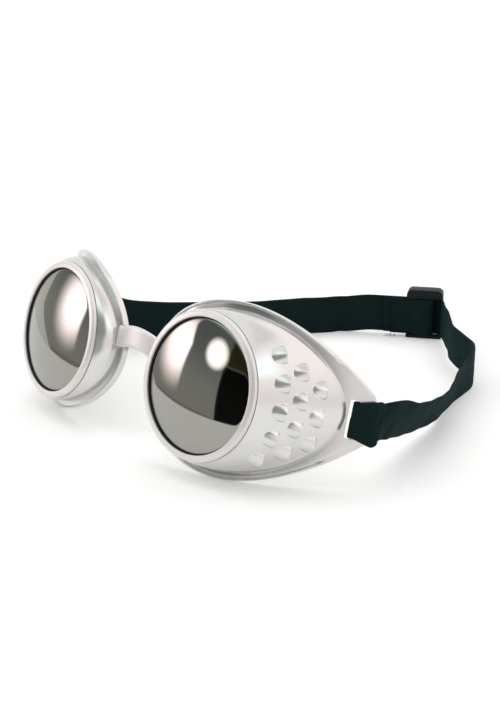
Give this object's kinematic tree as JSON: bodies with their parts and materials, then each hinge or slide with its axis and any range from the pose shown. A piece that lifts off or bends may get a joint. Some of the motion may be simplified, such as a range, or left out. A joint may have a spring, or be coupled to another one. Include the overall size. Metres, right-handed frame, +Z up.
{
  "type": "costume goggles",
  "caption": "Round-lens goggles: vented pearl-silver cups with domed mirrored lenses, a nose bridge strip, and a black elastic strap with an adjusting slider, standing with the strap in a loop",
  "frame": {"origin": "middle of the floor rectangle under the whole object, at the table's height", "axes": "+Z up; -Y is the front, where the lenses look; +X is the wearer's left, the side of the sewn strap loop"},
  "size_m": [0.1734, 0.1806, 0.0571],
  "materials": {
    "pearl_plastic": "satin warm pearl-silver paint on moulded plastic",
    "mirrored_lens": "dark mirrored plastic, polished",
    "black_gasket": "matte black",
    "black_webbing": "knitted black elastic webbing",
    "black_thread": "black sewing thread",
    "black_slider": "moulded black plastic"
  },
  "bodies": {
    "frame": {"near_cup_shell": "pearl_plastic", "far_cup_shell": "pearl_plastic", "near_lens_ring": "pearl_plastic", "far_lens_ring": "pearl_plastic", "near_lens_gasket": "black_gasket", "far_lens_gasket": "black_gasket", "near_lens": "mirrored_lens", "far_lens": "mirrored_lens", "nose_bridge": "pearl_plastic", "strap_near_run": "black_webbing", "strap_back_run": "black_webbing", "strap_return_run": "black_webbing"},
    "near_loop": {"near_strap_loop": "black_webbing", "near_loop_stitching": "black_thread"},
    "far_loop": {"far_strap_loop": "black_webbing"},
    "slider": {"strap_slider": "black_slider", "slider_strap_loop": "black_webbing", "slider_loop_stitching": "black_thread"}
  },
  "joints": [
    {"name": "near_loop_swing", "type": "hinge", "parent": "frame", "child": "near_loop", "pos_m": [0.08224, -0.04717, 0.02236], "axis": [-0.0272, 0.2675, 0.9632], "range_deg": [-8, 8], "deforming": ["strap_near_run"]},
    {"name": "far_loop_swing", "type": "hinge", "parent": "frame", "child": "far_loop", "pos_m": [-0.07918, -0.04717, 0.02236], "axis": [0.0272, 0.2675, 0.9632], "range_deg": [-8, 8], "deforming": ["strap_back_run"]},
    {"name": "slider_slide", "type": "slide", "parent": "frame", "child": "slider", "axis": [-0.7986, -0.6018, 0], "range_m": [0, 0.018], "deforming": ["strap_return_run"]}
  ]
}
